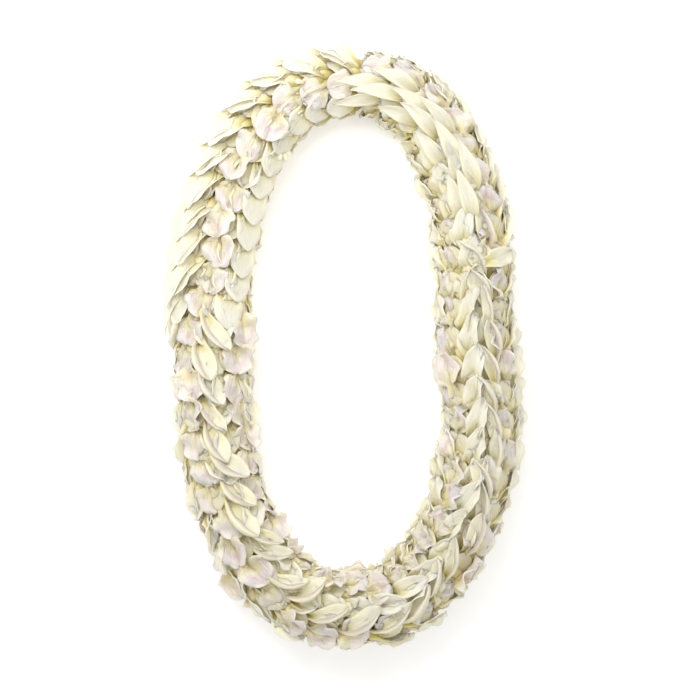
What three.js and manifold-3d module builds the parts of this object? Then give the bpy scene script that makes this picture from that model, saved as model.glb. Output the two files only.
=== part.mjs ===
// A fresh orchid lei, lying flat on a table: one loop of string, tied with a small knot, that carries 48
// rings of dendrobium blossoms. Each ring holds four blossoms, their lips at a quarter turn from each other,
// so the lips make four rows along the rope. The rows wind slowly round it. Every blossom points the way the
// string runs, anticlockwise from above, and lies over the root of the next one as a shingle does.
//
// Millimetres. +Z is up, the table is the plane z = 0, and the origin is under the middle of the loop.
import * as THREE from "three";
import { mergeVertices } from "three/addons/utils/BufferGeometryUtils.js";
import Module from "manifold-3d";

const wasm = await Module();
wasm.setup();

// The loop that the string follows: an oval a little squarer than an ellipse, bowed to the left above its
// middle and wider below it.
const LOOP_MIDDLE_X = 1.6;
const LOOP_MIDDLE_Y = 1.7;
const LOOP_HALF_WIDTH = 101.8;
const LOOP_HALF_LENGTH = 202.6;
const LOOP_SQUARENESS = 2.4;
const LOOP_BOW = 3.5;
const LOOP_BOW_AT_Y = 15;
const LOOP_BOW_SPREAD = 60;
const LOOP_BELLY = 4.5;
const LOOP_BELLY_AT_Y = -80;
const LOOP_BELLY_SPREAD = 60;
const TIE_ANGLE = 1.45;
const TIE_GAP = 5;
const LOOP_SAMPLES = 8000;

// The rope of flowers.
const RING_COUNT = 48;
const BLOSSOMS_PER_RING = 4;
const ROPE_RADIUS = 30.5;
const ROPE_CENTRE_HEIGHT = 27.5;
const TIE_PINCH = 0.16;
const TIE_PINCH_SHARE = 0.045;

// How far the rows of lips have turned round the rope, in degrees from straight up towards the outside of
// the loop, at shares of the way round from the tie.
const ROW_TURNS = [
  [0.0, 0],
  [0.2, 6],
  [0.25, 44],
  [0.32, 38],
  [0.4, 18],
  [0.45, 24],
  [0.5, 48],
  [0.65, 50],
  [0.8, 42],
  [0.93, 34],
  [1.0, 34],
];

// The string, its knot, and the bore that it runs in through each ring's core of packed flower bases.
const STRING_RADIUS = 0.7;
const STRING_SIDES = 5;
const BORE_RADIUS = 1.6;
const KNOT_RADIUS = 2.1;
const KNOT_TAIL = 6;
const KNOT_TAIL_LEAN = 0.35;
const CORE_LENGTH = 17;
const CORE_BACK_RADIUS = 8.6;
const CORE_FRONT_RADIUS = 10.4;

// Blades: length from root to tip, full width, thickness on the midrib, the angles at which the blade leaves
// the core and ends at the rope's surface, the share of its length that curls from the one to the other, the
// root's distance from the string, and its shift along the string from the ring's middle.
const LIP = { length: 46, width: 28, thick: 1.5, rise: 80, end: 8, curl: 0.8, root: 5, shift: -6.2 };
const OVER_PETAL = { length: 43, width: 19, thick: 1.4, rise: 79, end: 8, curl: 0.8, root: 5, shift: -1 };
const UNDER_PETAL = { length: 31, width: 18, thick: 1.4, rise: 82, end: 9, curl: 0.8, root: 5, shift: 4.5 };
const PETAL_SPLAY = 20;
const PETAL_ROOT_TURN = 22;

// Petals that touch the table are pressed flat against it.
const PRESS_FROM = 6;
const PRESS_LOWEST = -2.7;

// Slivers smaller than this, left where blades meet, are smoothed away.
const SMALLEST_DETAIL = 0.1;

const ALONG = new THREE.Vector3(1, 0, 0);
const UP = new THREE.Vector3(0, 0, 1);
const radians = THREE.MathUtils.degToRad;

// A repeatable draw from -1 to 1 for ring i, blossom j and quantity k.
function draw(i, j, k) {
  const wave = Math.sin(i * 127.1 + j * 311.7 + k * 74.7) * 43758.5453;
  return 2 * (wave - Math.floor(wave)) - 1;
}

function loopPoint(angle) {
  const c = Math.cos(angle);
  const s = Math.sin(angle);
  const y = LOOP_HALF_LENGTH * Math.sign(s) * Math.abs(s) ** (2 / LOOP_SQUARENESS);
  const bow = LOOP_BOW * Math.exp(-(((y - LOOP_BOW_AT_Y) / LOOP_BOW_SPREAD) ** 2));
  const belly = LOOP_BELLY * Math.exp(-(((y - LOOP_BELLY_AT_Y) / LOOP_BELLY_SPREAD) ** 2));
  const x = (LOOP_HALF_WIDTH + belly) * Math.sign(c) * Math.abs(c) ** (2 / LOOP_SQUARENESS);
  return new THREE.Vector3(LOOP_MIDDLE_X + x - bow, LOOP_MIDDLE_Y + y, ROPE_CENTRE_HEIGHT);
}

// Points along the loop from the tie, with the distance to each.
const loopPoints = [];
const loopDistances = [];
for (let i = 0; i <= LOOP_SAMPLES; i++) {
  const p = loopPoint(TIE_ANGLE + (2 * Math.PI * i) / LOOP_SAMPLES);
  const before = i ? loopDistances[i - 1] + p.distanceTo(loopPoints[i - 1]) : 0;
  loopPoints.push(p);
  loopDistances.push(before);
}
const STRING_LENGTH = loopDistances[LOOP_SAMPLES];

function pointAt(from) {
  const distance = (from + STRING_LENGTH) % STRING_LENGTH;
  let low = 0;
  let high = LOOP_SAMPLES;
  while (high - low > 1) {
    const middle = (low + high) >> 1;
    if (loopDistances[middle] <= distance) low = middle;
    else high = middle;
  }
  const share = (distance - loopDistances[low]) / (loopDistances[high] - loopDistances[low]);
  return loopPoints[low].clone().lerp(loopPoints[high], share);
}

// A smooth value from a list of [share, value] pairs.
function smoothValue(list, share) {
  let i = 1;
  while (i < list.length - 1 && share > list[i][0]) i++;
  const t = (share - list[i - 1][0]) / (list[i][0] - list[i - 1][0]);
  return list[i - 1][1] + (list[i][1] - list[i - 1][1]) * t * t * (3 - 2 * t);
}

// The frame of each ring: its middle on the string, the way the string runs there, the outward side of the
// loop, and how much the loop bends in each millimetre.
const RING_SPACING = (STRING_LENGTH - TIE_GAP) / RING_COUNT;
const ringEnds = [];
for (let i = 0; i <= RING_COUNT; i++) ringEnds.push(pointAt(TIE_GAP / 2 + i * RING_SPACING));

function ringFrame(i) {
  const along = ringEnds[i + 1].clone().sub(ringEnds[i]).normalize();
  const before = ringEnds[i].clone().sub(pointAt(TIE_GAP / 2 + (i - 1) * RING_SPACING));
  const after = pointAt(TIE_GAP / 2 + (i + 2) * RING_SPACING).sub(ringEnds[i + 1]);
  const share = (i + 0.5) / RING_COUNT;
  const nearTie = Math.min(share, 1 - share) / TIE_PINCH_SHARE;
  return {
    ring: i,
    distance: TIE_GAP / 2 + (i + 0.5) * RING_SPACING,
    middle: ringEnds[i].clone().lerp(ringEnds[i + 1], 0.5),
    along,
    outward: along.clone().cross(UP),
    bend: before.angleTo(after) / (2 * RING_SPACING),
    turn: smoothValue(ROW_TURNS, share),
    scale: 1 - TIE_PINCH * Math.exp(-nearTie * nearTie),
  };
}

// A place in the rope, given along the string from a ring's middle, towards the outside of the loop, and up
// from the string. It follows the loop's curve, and lengths on the outside of a bend are kept as they are.
// What reaches down to the table is pressed flat on it.
function ropePoint(frame, place) {
  const distance = frame.distance + place.x / (1 + frame.bend * Math.max(0, place.y));
  const along = pointAt(distance + 2).sub(pointAt(distance - 2)).normalize();
  const p = pointAt(distance).addScaledVector(along.cross(UP), place.y);
  p.z += place.z;
  if (p.z < PRESS_FROM) p.z = (PRESS_FROM * (p.z - PRESS_LOWEST)) / (PRESS_FROM - PRESS_LOWEST);
  return p;
}

// A point of a blade: across its width, a share of the way from root to tip, and above its surface.
function bladePoint(frame, blade, across, share, above) {
  const turn = radians(blade.turn);
  const splay = radians(blade.splay);
  const rise = radians(blade.rise);
  const fall = radians(blade.rise - blade.end);
  const curled = Math.min(share, blade.curl);
  const slope = rise - (fall * curled) / blade.curl;
  const out = new THREE.Vector3(0, Math.sin(turn), Math.cos(turn));
  const round = new THREE.Vector3(0, Math.cos(turn), -Math.sin(turn));
  const heading = ALONG.clone().multiplyScalar(Math.cos(splay)).addScaledVector(round, Math.sin(splay));
  const side = round.clone().multiplyScalar(Math.cos(splay)).addScaledVector(ALONG, -Math.sin(splay));
  const normal = out.clone().multiplyScalar(Math.cos(slope)).addScaledVector(heading, -Math.sin(slope));
  const length = blade.length * frame.scale;
  const arc = (length * blade.curl) / fall;
  const straight = length * (share - curled);
  const forward = arc * (Math.sin(rise) - Math.sin(slope)) + straight * Math.cos(slope);
  const outwards = arc * (Math.cos(slope) - Math.cos(rise)) + straight * Math.sin(slope);
  const wrap = (across * across) / (2 * ROPE_RADIUS);
  const place = ALONG.clone()
    .multiplyScalar(blade.shift)
    .addScaledVector(out, blade.root + outwards)
    .addScaledVector(heading, forward)
    .addScaledVector(side, across)
    .addScaledVector(normal, above - wrap);
  return ropePoint(frame, place);
}

// A solid from shared vertices and faces, three indices each.
function solidFrom(points, faces) {
  const vertProperties = new Float32Array(points.flatMap((p) => [p.x, p.y, p.z]));
  const triVerts = new Uint32Array(faces.flat());
  return new wasm.Manifold(new wasm.Mesh({ numProp: 3, vertProperties, triVerts }));
}

// A blade from its rim, its midrib and the faces of its upper side. The rim is shared by both sides, and the
// midrib stands off on each side by its share of the thickness.
function bladeSolid(frame, blade, rim, midrib, upper) {
  const place = ([u, v, w], above) => bladePoint(frame, blade, u * blade.width, v, w + above);
  const points = [
    ...rim.map((point) => place(point, 0)),
    ...midrib.map((point) => place(point, blade.thick * 0.6)),
    ...midrib.map((point) => place(point, -blade.thick * 0.4)),
  ];
  const lower = upper.map((face) => face.map((i) => (i < rim.length ? i : i + midrib.length)).reverse());
  return solidFrom(points, [...upper, ...lower]);
}

// A petal: broad past its middle, with a short point. Points are [across, along, above], across and along as
// shares of the width and length.
const PETAL_RIM = [
  [0, 0, 0],
  [-0.2, 0.36, 0],
  [-0.5, 0.7, 0],
  [0, 1, 0],
  [0.5, 0.7, 0],
  [0.2, 0.36, 0],
];
const PETAL_MIDRIB = [
  [0, 0.38, 0.6],
  [0, 0.72, 0.9],
];
const PETAL_FACES = [
  [0, 6, 1],
  [1, 6, 7],
  [1, 7, 2],
  [2, 7, 3],
  [3, 7, 4],
  [4, 7, 5],
  [5, 7, 6],
  [5, 6, 0],
];


// The petal that lies under has the same rim and a single high point.
const UNDER_PETAL_MIDRIB = [[0, 0.62, 0.9]];
const UNDER_PETAL_FACES = PETAL_RIM.map((point, i) => [i, 6, (i + 1) % PETAL_RIM.length]);

// A lip: two side lobes, then a notch on each side and a broad middle lobe, with a hollow throat.
const LIP_RIM = [
  [0, 0, 0],
  [-0.5, 0.56, 1.6],
  [-0.27, 0.7, 0.2],
  [-0.36, 0.88, 0.9],
  [0, 1, 0.4],
  [0.36, 0.88, 0.9],
  [0.27, 0.7, 0.2],
  [0.5, 0.56, 1.6],
];
const LIP_MIDRIB = [
  [0, 0.46, -0.6],
  [0, 0.76, 1.2],
];
const LIP_FACES = [
  [0, 8, 1],
  [1, 8, 2],
  [8, 9, 2],
  [2, 9, 3],
  [3, 9, 4],
  [4, 9, 5],
  [5, 9, 6],
  [6, 9, 8],
  [6, 8, 7],
  [7, 8, 0],
];

function lipSolid(frame, j) {
  const blade = {
    ...LIP,
    length: LIP.length * (1 + 0.04 * draw(frame.ring, j, 1)),
    turn: frame.turn + (360 * j) / BLOSSOMS_PER_RING + 4 * draw(frame.ring, j, 2),
    splay: 6 * draw(frame.ring, j, 3),
    shift: LIP.shift + 0.6 * draw(frame.ring, j, 4),
  };
  return bladeSolid(frame, blade, LIP_RIM, LIP_MIDRIB, LIP_FACES);
}

// The petal on one side of a blossom, side being -1 or 1. Both lie under the lip. Between two rows of lips,
// the petal from one side lies over the petal from the other.
function petalSolid(frame, j, side) {
  const petal = side > 0 ? OVER_PETAL : UNDER_PETAL;
  const k = side > 0 ? 10 : 20;
  const blade = {
    ...petal,
    length: petal.length * (1 + 0.05 * draw(frame.ring, j, k)),
    turn: frame.turn + (360 * j) / BLOSSOMS_PER_RING + side * PETAL_ROOT_TURN,
    splay: side * (PETAL_SPLAY + 3 * draw(frame.ring, j, k + 2)),
  };
  if (side > 0) return bladeSolid(frame, blade, PETAL_RIM, PETAL_MIDRIB, PETAL_FACES);
  return bladeSolid(frame, blade, PETAL_RIM, UNDER_PETAL_MIDRIB, UNDER_PETAL_FACES);
}

// The packed bases of a ring's flowers: a stub with one side for each blossom, and a bore for the string.
function coreSolid(frame) {
  const profile = [
    [BORE_RADIUS, -CORE_LENGTH / 2],
    [CORE_BACK_RADIUS, -CORE_LENGTH / 2],
    [CORE_FRONT_RADIUS, CORE_LENGTH / 2],
    [BORE_RADIUS, CORE_LENGTH / 2],
    [BORE_RADIUS, -CORE_LENGTH / 2],
  ].map(([r, z]) => new THREE.Vector2(r, z));
  const corner = radians(frame.turn + 180 / BLOSSOMS_PER_RING);
  const geometry = new THREE.LatheGeometry(profile, BLOSSOMS_PER_RING, corner, 2 * Math.PI);
  const basis = new THREE.Matrix4().makeBasis(frame.outward, frame.along, UP);
  geometry.applyMatrix4(basis.setPosition(frame.middle));
  return solidOfGeometry(geometry);
}

function solidOfGeometry(geometry) {
  geometry.deleteAttribute("normal");
  geometry.deleteAttribute("uv");
  const merged = mergeVertices(geometry, 1e-3);
  const vertProperties = merged.attributes.position.array;
  const triVerts = new Uint32Array(merged.index.array);
  return new wasm.Manifold(new wasm.Mesh({ numProp: 3, vertProperties, triVerts }));
}

function largestBody(solid) {
  return solid.decompose().sort((a, b) => b.volume() - a.volume())[0];
}

function geometryOf(solid) {
  const mesh = solid.getMesh();
  const geometry = new THREE.BufferGeometry();
  geometry.setAttribute("position", new THREE.BufferAttribute(mesh.vertProperties, 3));
  geometry.setIndex(new THREE.BufferAttribute(mesh.triVerts, 1));
  geometry.computeVertexNormals();
  return geometry;
}

// One ring of four blossoms on its core, trimmed flat where it is pressed on the table.
function ringSolid(i) {
  const frame = ringFrame(i);
  let solid = coreSolid(frame);
  for (let j = 0; j < BLOSSOMS_PER_RING; j++) {
    solid = solid.add(lipSolid(frame, j));
    solid = solid.add(petalSolid(frame, j, -1));
    solid = solid.add(petalSolid(frame, j, 1));
  }
  return largestBody(solid.trimByPlane([0, 0, 1], 0)).asOriginal().simplify(SMALLEST_DETAIL);
}

// The string: a closed tube that is straight inside each core and turns in the gaps between them.
function stringSolid() {
  const points = [];
  const faces = [];
  const count = ringEnds.length;
  for (let i = 0; i < count; i++) {
    const before = ringEnds[i].clone().sub(ringEnds[(i + count - 1) % count]).normalize();
    const after = ringEnds[(i + 1) % count].clone().sub(ringEnds[i]).normalize();
    const out = before.add(after).normalize().cross(new THREE.Vector3(0, 0, 1));
    for (let k = 0; k < STRING_SIDES; k++) {
      const a = (2 * Math.PI * k) / STRING_SIDES;
      points.push(
        ringEnds[i]
          .clone()
          .addScaledVector(out, STRING_RADIUS * Math.cos(a))
          .add(new THREE.Vector3(0, 0, STRING_RADIUS * Math.sin(a))),
      );
      const here = i * STRING_SIDES;
      const next = ((i + 1) % count) * STRING_SIDES;
      const beside = (k + 1) % STRING_SIDES;
      faces.push([here + k, next + beside, here + beside], [here + k, next + k, next + beside]);
    }
  }
  return solidFrom(points, faces);
}

// The knot that closes the loop, with the string's two cut ends standing out of it.
function knotSolid() {
  const first = ringEnds[0];
  const last = ringEnds[RING_COUNT];
  const middle = first.clone().lerp(last, 0.5);
  const knot = new THREE.IcosahedronGeometry(KNOT_RADIUS);
  const tails = [-1, 1].map((side) => {
    const tail = new THREE.CylinderGeometry(STRING_RADIUS, STRING_RADIUS, KNOT_TAIL, STRING_SIDES);
    return tail.translate(0, KNOT_TAIL / 2, 0).rotateX(Math.PI / 2).rotateY(side * KNOT_TAIL_LEAN);
  });
  const solids = [knot, ...tails].map((shape) => solidOfGeometry(shape.translate(...middle)));
  return solids[0].add(solids[1]).add(solids[2]);
}

const petalMaterial = new THREE.MeshStandardMaterial({ color: 0xf4eed6, roughness: 0.6, metalness: 0 });
const stringMaterial = new THREE.MeshStandardMaterial({ color: 0xf2f0ea, roughness: 0.8, metalness: 0 });

const lei = new THREE.Group();

function addPart(name, solid, material) {
  const mesh = new THREE.Mesh(geometryOf(solid), material);
  mesh.name = name;
  lei.add(mesh);
}

addPart("string", stringSolid().add(knotSolid()), stringMaterial);
for (let i = 0; i < RING_COUNT; i++) {
  addPart(`blossoms_${String(i + 1).padStart(2, "0")}`, ringSolid(i), petalMaterial);
}

export default lei;
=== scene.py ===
import math

import bmesh
import bpy
import numpy as np
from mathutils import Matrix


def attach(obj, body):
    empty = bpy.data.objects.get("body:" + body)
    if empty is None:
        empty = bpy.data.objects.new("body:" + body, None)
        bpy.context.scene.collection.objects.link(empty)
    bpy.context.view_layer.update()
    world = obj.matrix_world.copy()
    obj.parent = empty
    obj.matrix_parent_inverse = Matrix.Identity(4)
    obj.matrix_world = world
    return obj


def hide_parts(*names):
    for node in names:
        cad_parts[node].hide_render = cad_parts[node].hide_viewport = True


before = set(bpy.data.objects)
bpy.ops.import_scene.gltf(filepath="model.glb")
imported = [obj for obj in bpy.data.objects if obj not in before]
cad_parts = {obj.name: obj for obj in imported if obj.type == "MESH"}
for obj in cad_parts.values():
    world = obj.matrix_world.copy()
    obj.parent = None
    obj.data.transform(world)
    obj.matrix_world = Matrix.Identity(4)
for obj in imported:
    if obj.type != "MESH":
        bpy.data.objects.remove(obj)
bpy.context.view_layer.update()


# ---- The string -------------------------------------------------------------------------------------------
# White cotton string of three twisted strands, a little over a metre long. A long needle draws it through the
# base of every flower. The loop is closed near the narrowest place of the rope with a small knot.
MM = 0.001
LOOP_MIDDLE = (1.6 * MM, 1.7 * MM)
LOOP_HALF_WIDTH = 101.8 * MM
LOOP_HALF_LENGTH = 202.6 * MM
LOOP_SQUARENESS = 2.4
# The rope lies a little uneven. For each departure: how far it goes, its middle on Y and its reach.
LOOP_BOW = (3.5 * MM, 15 * MM, 60 * MM)
LOOP_BELLY = (4.5 * MM, -80 * MM, 60 * MM)
ROPE_CENTRE_HEIGHT = 27.5 * MM
TIE_ANGLE = 1.45
TIE_GAP = 5 * MM
RING_COUNT = 48
LOOP_SAMPLES = 8000
WAY_STEP = 2 * MM
UP = np.array([0, 0, 1.0])

around = TIE_ANGLE + np.linspace(0, 2 * math.pi, LOOP_SAMPLES + 1)
cosine, sine = np.cos(around), np.sin(around)
loop_y = LOOP_HALF_LENGTH * np.sign(sine) * np.abs(sine) ** (2 / LOOP_SQUARENESS)
bow, belly = (
    far * np.exp(-(((loop_y - middle) / reach) ** 2)) for far, middle, reach in (LOOP_BOW, LOOP_BELLY)
)
loop_x = (LOOP_HALF_WIDTH + belly) * np.sign(cosine) * np.abs(cosine) ** (2 / LOOP_SQUARENESS)
loop = np.stack(
    [LOOP_MIDDLE[0] + loop_x - bow, LOOP_MIDDLE[1] + loop_y, np.full_like(loop_x, ROPE_CENTRE_HEIGHT)], 1
)
loop_distance = np.concatenate([[0], np.cumsum(np.linalg.norm(np.diff(loop, axis=0), axis=1))])
STRING_LENGTH = loop_distance[-1]
RING_SPACING = (STRING_LENGTH - TIE_GAP) / RING_COUNT


def string_at(distance):
    """Places on the string, from distances along it."""
    wrapped = np.mod(distance, STRING_LENGTH)
    return np.stack([np.interp(wrapped, loop_distance, loop[:, k]) for k in range(3)], -1)


def string_way(distance):
    """The way the string runs, and the outward side of the loop, at distances along it."""
    along = string_at(distance + WAY_STEP) - string_at(distance - WAY_STEP)
    along /= np.linalg.norm(along, axis=-1, keepdims=True)
    outward = np.stack([along[..., 1], -along[..., 0], np.zeros_like(along[..., 0])], -1)
    return along, outward


def linear(colour):
    """A colour written as on the screen, such as f4eed6, in the light values that shaders take."""
    parts = [int(colour[k : k + 2], 16) / 255 for k in (0, 2, 4)]
    return [*(c / 12.92 if c < 0.04045 else ((c + 0.055) / 1.055) ** 2.4 for c in parts), 1.0]


def new_material(name):
    """A material with its nodes and their links, ready to be given its shader's values."""
    material = bpy.data.materials.new(name)
    material.use_nodes = True
    return material, material.node_tree.nodes, material.node_tree.links


def put(nodes, kind, **settings):
    """A shader node with its settings and the values of its named inputs."""
    node = nodes.new("ShaderNode" + kind)
    for name, value in settings.items():
        if name in node.inputs:
            node.inputs[name].default_value = value
        else:
            setattr(node, name, value)
    return node


STRAND_RADIUS = 0.34 * MM
STRAND_OFFSET = 0.36 * MM
STRAND_TWIST = 6 * MM
STRAND_STEP = 1 * MM
KNOT_TURNS = 2.5
KNOT_RADIUS = 1.1 * MM
KNOT_LENGTH = 2.4 * MM
KNOT_STRING_RADIUS = STRAND_RADIUS * 1.7
KNOT_POINTS = 24
TAIL_LENGTH = 6 * MM
TAIL_LEAN = 0.35
TAIL_POINTS = 6


def tube(name, lines, radius, closed):
    """A tube of the given radius along each line, as one mesh."""
    data = bpy.data.curves.new(name, "CURVE")
    data.dimensions = "3D"
    data.bevel_depth = radius
    data.bevel_resolution = 1
    data.use_fill_caps = not closed
    for line in lines:
        spline = data.splines.new("POLY")
        spline.points.add(len(line) - 1)
        spline.points.foreach_set("co", np.c_[line, np.ones(len(line))].ravel())
        spline.use_cyclic_u = closed
    piece = bpy.data.objects.new(name, data)
    bpy.context.collection.objects.link(piece)
    bpy.ops.object.select_all(action="DESELECT")
    bpy.context.view_layer.objects.active = piece
    piece.select_set(True)
    bpy.ops.object.convert(target="MESH")
    return bpy.context.view_layer.objects.active


strand_steps = int(STRING_LENGTH / STRAND_STEP)
strand_at = np.arange(strand_steps) * STRING_LENGTH / strand_steps
strand_out = string_way(strand_at)[1]
turns = round(STRING_LENGTH / STRAND_TWIST)
strands = []
for strand in range(3):
    angle = 2 * math.pi * (turns * strand_at / STRING_LENGTH + strand / 3)
    offset = np.cos(angle)[:, None] * strand_out + np.sin(angle)[:, None] * UP
    strands.append(string_at(strand_at) + STRAND_OFFSET * offset)
string = tube("string_loop", strands, STRAND_RADIUS, True)

tie_way, tie_out = string_way(np.array([0.0]))
tie = string_at(np.array([0.0]))[0]
# Each half of the knot winds round the string and stands up in a cut end.
wind = np.linspace(0, 1, KNOT_POINTS)
tail = np.linspace(0.15, 1, TAIL_POINTS)[:, None] * TAIL_LENGTH
knot_lines = []
for side in (-1, 1):
    angle = side * 2 * math.pi * KNOT_TURNS * wind
    line = tie + KNOT_LENGTH * side * (0.5 - wind)[:, None] * tie_way
    line = line + KNOT_RADIUS * (np.sin(angle)[:, None] * tie_out + np.cos(angle)[:, None] * UP)
    lean = tie_way * TAIL_LEAN * side + UP
    knot_lines.append(np.concatenate([line[::-1], line[0] + tail * lean]))
knot = tube("string_knot", knot_lines, KNOT_STRING_RADIUS, False)

cotton, nodes, links = new_material("cotton_string")
shader = nodes["Principled BSDF"]
shader.inputs["Roughness"].default_value = 0.85
shader.inputs["Sheen Weight"].default_value = 0.3
place = put(nodes, "TexCoord")
fibres = put(nodes, "TexNoise", Scale=1800, Detail=3)
tones = put(nodes, "ValToRGB")
tones.color_ramp.elements[0].color = linear("d8d2c0")
tones.color_ramp.elements[1].color = linear("f7f5ee")
nap = put(nodes, "Bump", Strength=0.4, Distance=0.0002)
links.new(place.outputs["Object"], fibres.inputs["Vector"])
links.new(fibres.outputs["Fac"], tones.inputs["Fac"])
links.new(tones.outputs["Color"], shader.inputs["Base Color"])
links.new(fibres.outputs["Fac"], nap.inputs["Height"])
links.new(nap.outputs["Normal"], shader.inputs["Normal"])
for piece in (string, knot):
    piece.data.materials.append(cotton)
    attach(piece, "root")
    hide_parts("string")


# ---- One blossom, petal by petal --------------------------------------------------------------------------
# A white dendrobium, about 60 mm across before it is sewn, with three sepals, two petals and a lip, all waxy
# and half a millimetre thick. Each is modelled straight, root at the origin and tip along Y, and is bent when
# it is sewn in.
PETAL_THICKNESS = 0.5 * MM
# How points of a sheet are told apart while its columns and rows are shaped, in metres.
SAME_PLACE = 1e-5
STILL_FLAT = 1e-7
NO_LONGER_FLAT = 1e-6
CLEAR_OF_ROWS = 10


def flat_sheet(name, columns, rows, width, length):
    """A flat sheet from a grid, ready in edit mode, with its root on the X axis."""
    bpy.ops.object.select_all(action="DESELECT")
    bpy.ops.mesh.primitive_grid_add(x_subdivisions=columns, y_subdivisions=rows, size=1)
    piece = bpy.context.active_object
    piece.name = name
    bpy.ops.object.mode_set(mode="EDIT")
    bpy.ops.mesh.select_mode(type="VERT")
    bpy.ops.mesh.select_all(action="SELECT")
    bpy.ops.transform.translate(value=(0, 0.5, 0))
    bpy.ops.transform.resize(value=(width, length, 1), center_override=(0, 0, 0))
    return piece


def pick(piece, wanted):
    """Selects the vertices that the test accepts, by their place."""
    mesh = bmesh.from_edit_mesh(piece.data)
    for v in mesh.verts:
        v.select_set(bool(wanted(v.co)))
    mesh.select_flush_mode()
    bmesh.update_edit_mesh(piece.data)


def cup_columns(piece, width, lift, spread=lambda s: s):
    """Lifts the columns of a flat sheet and draws them in, by functions of the share of the half width.

    A column that is done is no longer flat, so it isn't picked again."""
    mesh = bmesh.from_edit_mesh(piece.data)
    columns = sorted({round(v.co.x, 6) for v in mesh.verts}, key=abs)
    for x in columns:
        pick(piece, lambda co: abs(co.x - x) < SAME_PLACE and abs(co.z) < STILL_FLAT)
        s = 2 * x / width
        bpy.ops.transform.translate(value=(width / 2 * (spread(s) - s), 0, lift(s) + NO_LONGER_FLAT))


def shape_rows(piece, length, rows):
    """Sets the cross rows of a sheet, tip first: the share of its length, width and height of each.

    A row that is done is moved clear of those still to be picked, and all come back together."""
    mesh = bmesh.from_edit_mesh(piece.data)
    places = sorted({round(v.co.y, 6) for v in mesh.verts}, reverse=True)
    for y, (share, wide, high) in zip(places, reversed(rows)):
        pick(piece, lambda co: abs(co.y - y) < SAME_PLACE)
        bpy.ops.transform.resize(value=(wide, 1, high), center_override=(0, y, 0))
        bpy.ops.transform.translate(value=(0, CLEAR_OF_ROWS + share * length - y, 0))
    bpy.ops.mesh.select_all(action="SELECT")
    bpy.ops.transform.translate(value=(0, -CLEAR_OF_ROWS, 0))


def thicken(piece, thickness):
    """Closes a shaped sheet with its thickness."""
    bpy.ops.object.mode_set(mode="OBJECT")
    wall = piece.modifiers.new("thickness", "SOLIDIFY")
    wall.thickness = thickness
    wall.offset = 0
    bpy.ops.object.modifier_apply(modifier=wall.name)


LIP_FINISH, PETAL_FINISH, SEPAL_FINISH = range(3)


def take_pattern(piece, finish):
    """Keeps a finished shape as arrays, to be copied into each blossom, and clears it away."""
    mesh = piece.data
    points = np.zeros(len(mesh.vertices) * 3)
    mesh.vertices.foreach_get("co", points)
    across = np.zeros(len(mesh.loops) * 2)
    mesh.uv_layers.active.data.foreach_get("uv", across)
    pattern = {
        "points": points.reshape(-1, 3),
        "faces": [list(face.vertices) for face in mesh.polygons],
        "uv": across.reshape(-1, 2),
        "finish": finish,
    }
    bpy.data.objects.remove(piece)
    return pattern


# The lip: two rounded side lobes that run into a broad middle lobe, a slight notch in its end, and a groove
# down its middle between two low swells.
LIP_LENGTH = 46 * MM
LIP_WIDTH = 28 * MM
LIP_COLUMNS = 12
LIP_ROWS = [
    (0.00, 0.10, 0.6),
    (0.22, 0.20, 0.9),
    (0.36, 0.30, 1.2),
    (0.46, 0.36, 1.5),
    (0.54, 0.44, 1.6),
    (0.59, 0.68, 1.5),
    (0.635, 0.88, 1.3),
    (0.68, 0.98, 1.1),
    (0.735, 1.00, 1.0),
    (0.79, 0.92, 0.9),
    (0.85, 0.83, 0.7),
    (0.90, 0.74, 0.5),
    (0.945, 0.61, 0.35),
    (0.98, 0.42, 0.2),
    (1.00, 0.22, 0.15),
]
LIP_NOTCH = 0.9 * MM
NOTCH_HALF_WIDTH = 0.6 * MM
NOTCH_FROM = 0.985
LIP_SWEPT_FROM = 5.5 * MM
LIP_SWEPT_AGAIN_FROM = 8.5 * MM
LIP_SWEPT_ROWS = (0.53, 0.82)
LIP_SWEEP = 1.9 * MM


def lip_swell(s):
    """The height of the lip at a share of its half width: a groove, two swells and raised margins."""
    swells = 0.7 * math.sin(math.pi * abs(s) ** 0.7)
    groove = 1.3 * math.exp(-abs(s) / 0.12)
    margins = 1.2 * s * s
    return (swells - groove + margins) * MM


lip_sheet = flat_sheet("lip", LIP_COLUMNS, len(LIP_ROWS) - 1, LIP_WIDTH, LIP_LENGTH)
cup_columns(lip_sheet, LIP_WIDTH, lip_swell)
shape_rows(lip_sheet, LIP_LENGTH, LIP_ROWS)
pick(lip_sheet, lambda co: abs(co.x) < NOTCH_HALF_WIDTH and co.y > NOTCH_FROM * LIP_LENGTH)
bpy.ops.transform.translate(value=(0, -LIP_NOTCH, 0))
# The side lobes are swept back towards the root, their outer part twice.
for out_from in (LIP_SWEPT_FROM, LIP_SWEPT_AGAIN_FROM):
    pick(lip_sheet, lambda co: abs(co.x) > out_from
         and LIP_SWEPT_ROWS[0] < co.y / LIP_LENGTH < LIP_SWEPT_ROWS[1])
    bpy.ops.transform.translate(value=(0, -LIP_SWEEP, 0))
thicken(lip_sheet, PETAL_THICKNESS)
LIP = take_pattern(lip_sheet, LIP_FINISH)

# A petal: broad past its middle and slightly cupped, with a short point.
PETAL_LENGTH = 43 * MM
PETAL_WIDTH = 19 * MM
PETAL_COLUMNS = 8
PETAL_ROWS = [
    (0.00, 0.20, 0.6),
    (0.16, 0.42, 1.0),
    (0.30, 0.66, 1.2),
    (0.40, 0.80, 1.3),
    (0.50, 0.91, 1.3),
    (0.60, 0.98, 1.2),
    (0.70, 1.00, 1.1),
    (0.79, 0.90, 1.0),
    (0.87, 0.72, 0.8),
    (0.93, 0.49, 0.5),
    (0.97, 0.27, 0.3),
    (1.00, 0.02, 0.1),
]


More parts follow.
